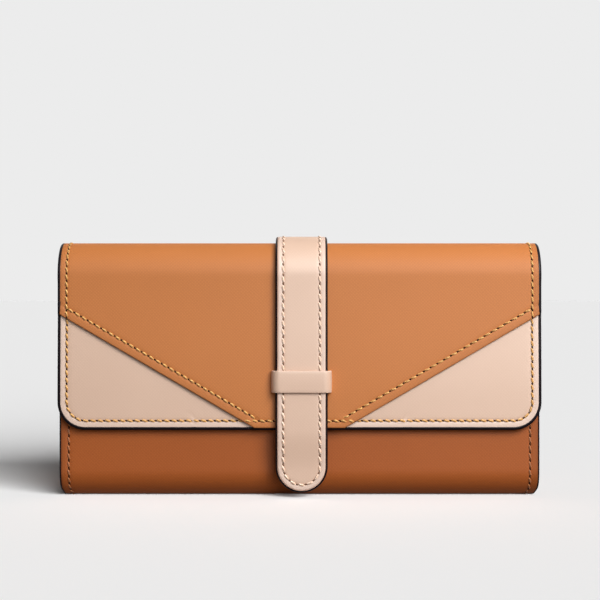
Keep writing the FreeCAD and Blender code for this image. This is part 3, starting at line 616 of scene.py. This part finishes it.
# the flap's outline as x, s and the two parts of its outward direction: down the right side, round and along the
# foot, and up the left side
sideRun = np.linspace(0, flapRun(centreZ), 90)[:-1]
sweep = np.linspace(0, math.pi / 2, 22)
sweepX, sweepS = np.cos(sweep), np.sin(sweep)
roundS = flapRun(centreZ) + flapShape["round"] * sweepS
edgeX, edgeS, outX, outS = joinParts(
    (half, sideRun, 1, 0),
    (roundX + flapShape["round"] * sweepX, roundS, sweepX, sweepS),
    (np.linspace(roundX, -roundX, 150)[1:-1], flapFoot, 0, 1),
    (-roundX - flapShape["round"] * sweepX[::-1], roundS[::-1], -sweepX[::-1], sweepS[::-1]),
    (-half, sideRun[::-1], -1, 0))


def tanShare(x, s):
    # 1 where the tan leather reaches the flap's edge, 0 where a pale corner does
    return smoothStep((tanFoot(x) - s + 0.6) / 1.2)


bead = carryBead(overTop, edgeX, edgeS, outX, outS, flapThickness(edgeS) - 0.63,
                 -flapShape["step"] * (1 - tanShare(edgeX * 0.999, edgeS)) + 0.04, flapShape["bead"])
flapEdge = makePiece("flapEdge", [bead], [darkEdge], 60)
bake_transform(flapEdge)
for side in (1, -1):
    run = -np.linspace(0, flapRun(bottomHigh[2]), 90)
    bead = carryBead(overTop, side * half, run, side, 0, -1.83 - 0.2 * smoothStep((-run - flatStart) / 3), 0.04,
                     flapShape["bead"])
    backEdge = makePiece("backEdge" + sideNames[side], [bead], [darkEdge], 60)
    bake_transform(backEdge)


bodyShape = {"half": 94.15, "bead": 0.5, "frontTop": solidBox("front_panel")[1][2], "overlap": 4.5,
             "overlapLift": 0.9, "seam": 3.3, "backSeam": 2.2, "groove": 0.16, "grooveWidth": 0.75, "edgeRound": 0.5,
             "backRound": 0.4}
seamZ = bottomHigh[2]
backTop = bodyRun(seamZ + bodyShape["overlap"])
underRows = np.concatenate([np.linspace(0, bottomFlat, 4), bottomFlat + np.linspace(0, bottomTurn, 16)[1:]])
sideFoot = bottomFlat + bottomTurn
rows = np.concatenate([-np.linspace(sideFoot, backTop, 16)[:0:-1], -underRows[::-1], underRows[1:],
                       np.linspace(sideFoot, bodyRun(bodyShape["frontTop"]), 50)[1:]])
x, t = np.meshgrid(spacedColumns(bodyShape["half"]), rows)
sideGap = bodyShape["half"] - np.abs(x)
backGap = backTop + t
step = bodyShape["overlapLift"] * smoothStep((-t - bodyRun(seamZ - 1.5)) / 2.5)
faceLift = (borderLift(sideGap, bodyShape["seam"], bodyShape) + edgeDrop(backGap, bodyShape["backRound"]) + step
            + seamDrop(backGap, bodyShape["backSeam"], bodyShape))
bodyLeather = makePiece("bodyLeather",
                        slab(underBottom, x, t, faceLift, step - 1.2, np.exp(-sideGap / 1.2), 0, 1, 2),
                        [saddleCalf, innerCalf, darkEdge])
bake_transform(bodyLeather)
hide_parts("front_panel", "bottom_fold")

for side in (1, -1):
    bead = carryBead(underBottom, side * (bodyShape["half"] + bodyShape["bead"]), rows, side, 0, -2.03, 0.03,
                     bodyShape["bead"], 12)
    bodyEdge = makePiece("bodyEdge" + sideNames[side], [bead], [darkEdge], 60)
    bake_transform(bodyEdge)

liningColumns = np.linspace(-94.2, 94.2, 60)
rows = np.concatenate([-np.linspace(0, bodyRun(solidBox("back_lining")[1][2]), 50)[::-1],
                       np.linspace(0, bodyRun(bodyShape["frontTop"] - 0.3), 50)[1:]])
x, t = np.meshgrid(liningColumns, rows)
bodyLining = makePiece("bodyLining", slab(underBottom, x, t, -1.2, -2.0, 0.0), [liningCloth])
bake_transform(bodyLining)
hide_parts("front_lining", "back_lining", "bottom_lining")

x, s = np.meshgrid(liningColumns, -np.linspace(0, flatStart + 2, 30))
innerLift = -1.8 - 0.2 * smoothStep((-s - flatStart) / 2)
foldLining = makePiece("foldLining", slab(overTop, x, s, -1.2, innerLift, 0.0), [liningCloth])
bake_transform(foldLining)
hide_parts("top_fold_lining")
print("body leather and linings made")


strapLow, strapHigh = solidBox("strap_tip")
strapShape = {"half": strapHigh[0], "thick": strapHigh[1] - strapLow[1], "bead": 0.8, "seam": 3.1, "groove": 0.14,
              "grooveWidth": 0.6, "edgeRound": 0.4, "faceInset": 0.86, "proud": 0.03, "join": 45.5, "shift": 0.8}
arc = np.linspace(-math.pi / 2, math.pi / 2, 13)
middleLift = strapShape["thick"] / 2
beadInset = strapShape["bead"] * (1 - np.cos(arc))
beadLift = middleLift + middleLift * 0.97 * np.sin(arc)
topInset = np.array([strapShape["faceInset"], 1.0, 1.2, 1.5, 1.9, 2.2, 2.5, 2.8, 3.1, 3.4, 3.7, 4.1, 4.6, 5.6, 7.0,
                     8.6, strapShape["half"]])
topLift = (strapShape["thick"] + strapShape["proud"]
           + edgeDrop(topInset - strapShape["faceInset"], strapShape["edgeRound"])
           + seamDrop(topInset, strapShape["seam"], strapShape))
underInset = np.array([strapShape["half"], 5.0, strapShape["bead"]])
underLift = np.array([0.0, 0.0, beadLift[0]])


def strapGrids(middle, outX, outS):
    # a cross-section of inset and lift carried round the strap's outline from its middle line
    middle, outX, outS = (part[:, None] for part in np.broadcast_arrays(middle, outX, outS))
    grids = []
    for inset, lift, kind in ((underInset, underLift, 1), (beadInset, beadLift, 2),
                              (np.append(beadInset[-1], topInset), np.append(beadLift[-1], topLift), 0)):
        reach = strapShape["half"] - inset[None, :]
        px, ps = strapShape["shift"] + outX * reach, middle + outS * reach
        wear = smoothStep((strapShape["seam"] - inset) / 0.8)[None, :] + 0 * px
        grids.append((overTop(px, ps, lift[None, :] + 0 * px), np.stack([px, ps], -1), wear, kind))
    return grids


def strapSides(start, end, count):
    # the two straight sides of the strap
    run = np.linspace(start, end, count)
    return strapGrids(run, 1.0, 0.0) + strapGrids(run, -1.0, 0.0)


def strapEnd(centre, direction):
    # the half-round end, turning about a point on the middle line
    turn = np.linspace(0, math.pi, 40)
    return strapGrids(centre, np.cos(turn), direction * np.sin(turn))


strapMaterials = [naturalCalf, innerCalf, darkEdge]
tipCentre = flapRun(strapLow[2]) - strapShape["half"]
joinRun = flapRun(strapShape["join"])
strapTip = makePiece("strapTip", strapSides(joinRun, tipCentre, 40) + strapEnd(tipCentre, 1), strapMaterials, 50)
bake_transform(strapTip)
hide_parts("strap_tip")
strapFront = makePiece("strapFront", strapSides(0, joinRun, 90), strapMaterials, 50)
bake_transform(strapFront)
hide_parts("strap_front", "strap_fold")
backCentre = -flapRun(solidBox("strap_back")[0][2]) + strapShape["half"]
strapBack = makePiece("strapBack", strapSides(0, backCentre, 80) + strapEnd(backCentre, -1), strapMaterials, 50)
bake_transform(strapBack)
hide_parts("strap_back", "strap_fold")

keeperLow, keeperHigh = solidBox("keeper_loop")
keeperShape = {"bend": 3.2, "thick": 1.0, "round": 0.3, "bury": 0.3, "crown": 0.12, "sunk": 0.1}
kx, bend = keeperHigh[0], keeperShape["bend"]
standOff = float(flapBulge(np.array(flapRun((keeperLow[2] + keeperHigh[2]) / 2))))
ky = keeperLow[1] - standOff
kyFoot = keeperHigh[1] - standOff + keeperShape["bury"]
turn = np.linspace(0, math.pi / 2, 14)
cosTurn, sinTurn = np.cos(turn), np.sin(turn)
pathX, pathY, normalX, normalY = joinParts(
    (kx, np.linspace(kyFoot, ky + bend, 9)[:-1], 1, 0),
    (kx - bend + bend * cosTurn, ky + bend - bend * sinTurn, cosTurn, -sinTurn),
    (np.linspace(kx - bend, bend - kx, 30)[1:-1], ky, 0, -1),
    (bend - kx - bend * cosTurn[::-1], ky + bend - bend * sinTurn[::-1], -cosTurn[::-1], -sinTurn[::-1]),
    (-kx, np.linspace(ky + bend, kyFoot, 9)[1:], -1, 0))
# the band's section: up its outer face and down its inner one, with rounded edges
r, thick = keeperShape["round"], keeperShape["thick"]
arc = np.linspace(0, math.pi / 2, 5)
rise, draw = r * np.sin(arc), r * np.cos(arc) - r
kz0, kz1 = keeperLow[2], keeperHigh[2]
levels = np.linspace(kz0 + r, kz1 - r, 9)[1:-1]
outerZ, outerOut = joinParts((kz0 + r - rise[::-1], draw[::-1]), (levels, 0), (kz1 - r + rise, draw))
crown = keeperShape["crown"] * (1 - ((outerZ - (kz0 + kz1) / 2) / ((kz1 - kz0) / 2)) ** 2)
profileZ, profileOut = joinParts(
    (outerZ, outerOut + crown - keeperShape["sunk"]),
    (kz1 - r + rise[::-1], -thick - draw[::-1]), (levels[::-1], -thick), (kz0 + r - rise, -thick - draw),
    (outerZ[0], outerOut[0] + crown[0] - keeperShape["sunk"]))
points = np.stack(np.broadcast_arrays(strapShape["shift"] + pathX[:, None] + normalX[:, None] * profileOut,
                                      pathY[:, None] + normalY[:, None] * profileOut, profileZ[None, :]), -1)
pathRun = np.concatenate([[0], np.cumsum(np.hypot(np.diff(pathX), np.diff(pathY)))])
cut = np.stack(np.broadcast_arrays(pathRun[:, None], profileZ[None, :]), -1)
edgeGap = np.minimum(profileZ - kz0, kz1 - profileZ)[None, :]
keeper = makePiece("strapKeeper", [(points, cut, np.exp(-edgeGap / 0.6) * 0.4, 0)], [naturalCalf], 60)
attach(keeper, "flap")
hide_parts("keeper_loop")
print("strap and keeper made")


perimeterStitch = {"pitch": 2.9, "length": 2.55, "radius": 0.41, "flat": 0.75, "arch": 0.3, "sink": 0.04,
                   "slant": 18, "holeLong": 0.62, "holeWide": 0.36, "holeLift": 0.06}
bodyStitch = {**perimeterStitch, "pitch": 3.25, "radius": 0.34, "holeLong": 0.68}
diagonalStitch = {**perimeterStitch, "pitch": 3.1}
strapStitch = {**perimeterStitch, "pitch": 3.45, "length": 2.9, "radius": 0.42}


def flapLift(x, s):
    # the seam groove's floor on the tan leather or on a pale corner
    return -flapShape["groove"] - flapShape["step"] * (1 - smoothStep((tanFoot(x) - s + 0.1) / 0.4))


seam = flapShape["seam"]
footX = flapShape["cornerInset"] + (flapShape["diagonalSeam"] / slopeCos - seam) / slope
diagonalX = np.linspace(footX, half - seam - 0.4, 60)
diagonalS = tanFoot(diagonalX) - flapShape["diagonalSeam"] / slopeCos
flapLines = [sewLine(overTop, edgeX - outX * seam, edgeS - outS * seam, perimeterStitch, flapLift)]
for side in (1, -1):
    flapLines.append(sewLine(overTop, side * diagonalX, diagonalS, diagonalStitch, flapLift))
flapStitches = makeStitches("flapStitches", flapLines, [goldThread, needleHole])
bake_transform(flapStitches)

run = -np.linspace(0, flapRun(seamZ + bodyShape["overlap"] + 0.5), 60)
backLines = [sewLine(overTop, side * (half - seam), run, perimeterStitch, -flapShape["groove"]) for side in (1, -1)]
backStitches = makeStitches("backStitches", backLines, [goldThread, needleHole])
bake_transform(backStitches)

run = np.linspace(bodyRun(bodyShape["frontTop"] - 2), bottomFlat + 1.0, 80)
bodyLines = [sewLine(underBottom, side * (bodyShape["half"] - bodyShape["seam"]), run, bodyStitch,
                     -bodyShape["groove"]) for side in (1, -1)]
bodyLines.append(sewLine(underBottom, np.linspace(-92, 92, 60), bodyShape["backSeam"] - backTop, bodyStitch,
                         bodyShape["overlapLift"] - bodyShape["groove"]))
bodyStitches = makeStitches("bodyStitches", bodyLines, [tanThread, needleHole])
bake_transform(bodyStitches)


def strapSeam(start, end, direction):
    # down one side at the seam's inset, round the end, and up the other side
    inset = strapShape["half"] - strapShape["seam"]
    turn = np.linspace(0, math.pi, 40)
    run = np.linspace(start, end, 40)
    sx, ss = joinParts((inset, run), (inset * np.cos(turn), end + direction * inset * np.sin(turn)),
                       (-inset, run[::-1]))
    return sewLine(overTop, strapShape["shift"] + sx, ss, strapStitch, strapSeamLift)


strapSeamLift = strapShape["thick"] - strapShape["groove"] + strapShape["proud"]
tipStitches = makeStitches("strapTipStitches", [strapSeam(flapRun(41), tipCentre, 1)], [paleThread, paleHoleShade])
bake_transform(tipStitches)
run = np.linspace(0, joinRun - 0.3, 40)
frontLines = [sewLine(overTop, strapShape["shift"] + side * (strapShape["half"] - strapShape["seam"]), run,
                      strapStitch, strapSeamLift) for side in (1, -1)]
frontStitches = makeStitches("strapFrontStitches", frontLines, [paleThread, paleHoleShade])
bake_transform(frontStitches)
upStitches = makeStitches("strapBackStitches", [strapSeam(0, backCentre, -1)], [paleThread, paleHoleShade])
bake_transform(upStitches)
print("stitches sewn")

for node in ("zip_slider", "zip_pull", "snap_stud", "snap_socket", "zip_teeth_front", "zip_teeth_rear",
             "zip_stop_bottom", "zip_stop_top_front", "zip_stop_top_rear"):
    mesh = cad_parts[node].data
    mesh.materials.clear()
    mesh.materials.append(goldPlate)


def flatPlace(normalY):
    # a piece that lies in an upright plane: lift moves it forwards from that plane
    return lambda x, z, lift: np.stack(np.broadcast_arrays(x, normalY - lift, z), -1)


cardShape = {"edgeRound": 0.3, "seam": 1.6, "groove": 0.08, "grooveWidth": 0.5, "backing": 1.2, "leather": 0.6,
             "face": 10.0, "seamFoot": 12.5, "seamTop": 77.0, "seamX": (-88.0, -1.9, 1.9, 88.0)}
for node in [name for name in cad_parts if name.startswith("card_")]:
    low, high = solidBox(node)
    near = edgeSteps[:8]
    columns = np.unique(np.concatenate([np.linspace(low[0], high[0], 30), low[0] + near, high[0] - near]))
    x, z = np.meshgrid(columns, np.unique(np.concatenate([np.linspace(low[2], high[2], 30), high[2] - edgeSteps])))
    gap = high[2] - z
    faceLift = high[1] - low[1] + borderLift(gap, cardShape["seam"], cardShape)
    name = node.replace("card_slot", "cardSlot").replace("card_backing", "cardBacking").replace("_", ".")
    card = makePiece(name, slab(flatPlace(high[1]), x, z, faceLift, 0.0, np.exp(-gap / 0.8)), [innerCalf])
    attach(card, "back")
    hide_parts(node)


def cardLift(x, z):
    # each lower row of card slots stands one leather's thickness further forwards
    return cardShape["backing"] + cardShape["leather"] * ((z < 67) + 0.0 + (z < 56) + (z < 45))


run = np.linspace(cardShape["seamFoot"], cardShape["seamTop"], 40)
cardLines = [sewLine(flatPlace(cardShape["face"]), x, run, bodyStitch, cardLift) for x in cardShape["seamX"]]
cardStitches = makeStitches("cardStitches", cardLines, [tanThread, needleHole])
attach(cardStitches, "back")

pocketLow, pocketHigh = solidBox("pocket_floor")
pocketTop = solidBox("pocket_front_wall")[1][2]
pocketShape = {"thick": 0.8, "bend": 1.9, "slack": 0.22, "seam": 5.0}
path = roundedPath([(pocketLow[1], pocketTop), (pocketLow[1], pocketLow[2]), (pocketHigh[1], pocketLow[2]),
                    (pocketHigh[1], pocketTop)], [pocketShape["bend"]] * 2)
pocketRun = path[0][-1]
pocketPlace = alongPath(path, lambda x, y, z: np.stack([x, y, z], -1))
x, s = np.meshgrid(spacedColumns(pocketHigh[0], 4.0), path[0])
fromTop = np.minimum(s, pocketRun - s)
# slack walls: a slow wave across and down, held flat near the mouth and the floor
slack = (pocketShape["slack"] * np.sin(x / 13 + s / 17) * smoothStep((fromTop - 12) / 10)
         * smoothStep((68 - fromTop) / 8))
pocketCloth = makePiece("pocketCloth", slab(pocketPlace, x, s, slack, slack + pocketShape["thick"], 0.0),
                        [liningCloth])
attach(pocketCloth, "pocket")
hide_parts("pocket_front_wall", "pocket_rear_wall", "pocket_floor")


def pocketOutside(x, s, lift):
    # the pocket's path lifts into the pocket, so its outer face is lifted the other way
    return pocketPlace(x, s, -lift)


seamX = np.linspace(2 - pocketHigh[0], pocketHigh[0] - 2, 60)
pocketLines = [sewLine(pocketOutside, seamX, run, bodyStitch, 0.0)
               for run in (pocketShape["seam"], pocketRun - pocketShape["seam"])]
pocketStitches = makeStitches("pocketStitches", pocketLines, [tanThread, needleHole])
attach(pocketStitches, "pocket")

for node, part, side in (("zip_tape_front", "Front", 1), ("zip_tape_rear", "Rear", -1)):
    low, high = solidBox(node)
    wall, free = (low[1], high[1])[::side]
    path = roundedPath([(wall, low[2]), (wall, high[2]), (free, high[2])], [1.0], 0.8)
    place = alongPath(path, lambda x, y, z: np.stack([x, y, z], -1))
    x, s = np.meshgrid(np.linspace(low[0], high[0], 120), path[0])
    tape = makePiece("zipTape" + part, slab(place, x, s, 0.0, -0.5 * side, 0.0), [tapeCloth])
    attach(tape, "pocket")
    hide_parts(node)

gussetLow, gussetHigh = solidBox("gusset_right")
gussetShape = {"thick": 0.6, "flange": 2.5, "depth": 8.6, "bend": 0.65, "rearLeg": 90.5, "overlap": 0.3,
               "leastWidth": 10}
cardFace = solidBox("card_slot_right_4")[0][1]
pocketSide = pocketHigh[0]
lapX = pocketSide + gussetShape["overlap"]
foldX = pocketSide - gussetShape["depth"]
bend, rearLeg = gussetShape["bend"], gussetShape["rearLeg"]
gussetPaths = {
    "Front": roundedPath([(gussetHigh[0], gussetLow[1]), (gussetHigh[0] - gussetShape["flange"], gussetLow[1]),
                          (foldX, (gussetLow[1] + pocketLow[1]) / 2), (lapX, pocketLow[1])], [0.8, bend], 0.7),
    "Middle": roundedPath([(pocketSide, pocketLow[1] - gussetShape["overlap"]),
                           (pocketSide, pocketHigh[1] + gussetShape["overlap"])], [], 1.0),
    "Rear": roundedPath([(lapX, pocketHigh[1]), (foldX, (pocketHigh[1] + cardFace) / 2), (rearLeg, cardFace),
                         (rearLeg, gussetHigh[1]), (gussetHigh[0], gussetHigh[1])], [bend, 0.5, 0.5], 0.7)}
for side, node in ((1, "gusset_right"), (-1, "gusset_left")):
    for part, path in gussetPaths.items():
        place = alongPath(path, lambda z, x, y: np.stack([side * x, y, z], -1))
        z, s = np.meshgrid(np.linspace(gussetLow[2], gussetHigh[2], 50), path[0])
        topGap = gussetHigh[2] - z
        faceLift = edgeDrop(topGap, 0.25)
        gusset = makePiece("gusset" + part + sideNames[side],
                           slab(place, z, s, faceLift, -gussetShape["thick"] - faceLift, np.exp(-topGap / 0.8)),
                           [innerCalf])
        if part == "Front":
            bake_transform(gusset)
        elif part == "Middle":
            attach(gusset, "pocket")
        else:
            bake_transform(gusset)
        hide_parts(node)
        width = max(path[0][-1], gussetShape["leastWidth"])
print("pocket, zip tapes and gussets made")


studio = {
    "background": "#ececec", "air": 0.07, "floorColour": 0.27, "floorSeen": 0.9,
    "sunHeight": 30, "sunSide": 32, "sunSize": 46, "sunOnWallet": 1.98,
    "floorSunHeight": 14.2, "floorSunSide": 30, "floorSunSize": 50, "sunOnFloor": 10.2,
    "boxPlace": (0.3, -0.36, 0.36), "boxAim": (0.03, -0.01, 0.06), "boxSize": 0.22, "boxPower": 1.65,
    "topPlace": (0.06, -0.16, 0.52), "topAim": (0.0, -0.01, 0.06), "topSize": 0.3, "topPower": 0.5,
    "backPlace": (-0.15, 0.62, 0.3), "backAim": (0.0, 0.0, 0.05), "backSize": 0.5, "backPower": 1.8,
    "sheenPlace": (0.13, -0.38, 0.27), "sheenAim": (0.03, -0.01, 0.07), "sheenSize": 0.28, "sheenPower": 4.0,
}
world = bpy.data.worlds.new("studioAir")
bpy.context.scene.world = world
add = newTree(world)
rays = add("LightPath")
seen = add("Math", {"operation": "MAXIMUM"}, {0: rays.outputs["Is Camera Ray"], 1: rays.outputs["Is Glossy Ray"]})
seen = add("Math", {"operation": "MAXIMUM"}, {0: seen.outputs[0], 1: rays.outputs["Is Transmission Ray"]})
air = add("Background", {"Color": (1.0, 1.0, 1.0, 1.0), "Strength": studio["air"]})
backdrop = add("Background", {"Color": studio["background"], "Strength": 1.0})
both = add("MixShader", links={0: seen.outputs[0], 1: air.outputs[0], 2: backdrop.outputs[0]})
add("OutputWorld", links={"Surface": both.outputs[0]})

# Unglazed studio paper, pale and without gloss: it looks nearly white and throws back less light than it shows.
floorMesh = bpy.data.meshes.new("studioFloor")
floorMesh.from_pydata([(-60, -3, 0), (60, -3, 0), (60, 120, 0), (-60, 120, 0)], [], [(0, 1, 2, 3)])
floor = bpy.data.objects.new("studioFloor", floorMesh)
bpy.context.scene.collection.objects.link(floor)
material = bpy.data.materials.new("matteStudioPaper")
add = newTree(material)
rays = add("LightPath")
tone = add("Mix", {"data_type": "RGBA", 6: (studio["floorColour"],) * 3 + (1.0,),
                   7: (studio["floorSeen"],) * 3 + (1.0,)}, {0: rays.outputs["Is Camera Ray"]})
paper = add("BsdfDiffuse", links={"Color": tone.outputs[2]})
add("OutputMaterial", links={"Surface": paper.outputs[0]})
floorMesh.materials.append(material)
floor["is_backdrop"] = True

walletSet = bpy.data.collections.new("walletOnly")
floorSet = bpy.data.collections.new("floorOnly")
floorSet.objects.link(floor)
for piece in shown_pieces():
    walletSet.objects.link(piece)


def addLamp(name, kind, power, size, place, turn, receivers):
    # a soft lamp that lights one set of objects; what stands in its way still casts a shadow
    lamp = bpy.data.lights.new(name, kind)
    lamp.energy = power
    if kind == "SUN":
        lamp.angle = math.radians(size)
    else:
        lamp.size = size
    holder = bpy.data.objects.new(name, lamp)
    holder.location = place
    holder.rotation_euler = turn
    bpy.context.scene.collection.objects.link(holder)
    holder.visible_camera = False
    holder.light_linking.receiver_collection = receivers
    return holder


sunTurn = (math.radians(90 - studio["sunHeight"]), 0, math.radians(studio["sunSide"]))
floorSunTurn = (math.radians(90 - studio["floorSunHeight"]), 0, math.radians(studio["floorSunSide"]))
addLamp("keyOnWallet", "SUN", studio["sunOnWallet"], studio["sunSize"], (0, 0, 1), sunTurn, walletSet)
addLamp("keyOnFloor", "SUN", studio["sunOnFloor"], studio["floorSunSize"], (0, 0, 1), floorSunTurn, floorSet)
for lampName in ("box", "top", "back", "sheen"):
    aim = Vector(studio[lampName + "Aim"]) - Vector(studio[lampName + "Place"])
    panel = addLamp(lampName + "Panel", "AREA", studio[lampName + "Power"], studio[lampName + "Size"],
                    studio[lampName + "Place"], aim.to_track_quat("-Z", "Y").to_euler(), walletSet)
    panel.visible_glossy = lampName != "back"
    # the sheen panel is a reflection card: it shows only as sheen on the leather
    panel.visible_diffuse = lampName != "sheen"

lens = bpy.data.cameras.new("camera")
lens.lens = 91.85
lens.sensor_width = 36
lens.clip_end = 200
camera = bpy.data.objects.new("camera", lens)
camera.location = (0.0002, -0.615, 0.0775)
camera.rotation_euler = (math.radians(90), 0, 0)
bpy.context.scene.collection.objects.link(camera)
bpy.context.scene.camera = camera
bpy.context.scene.view_settings.view_transform = "Standard"
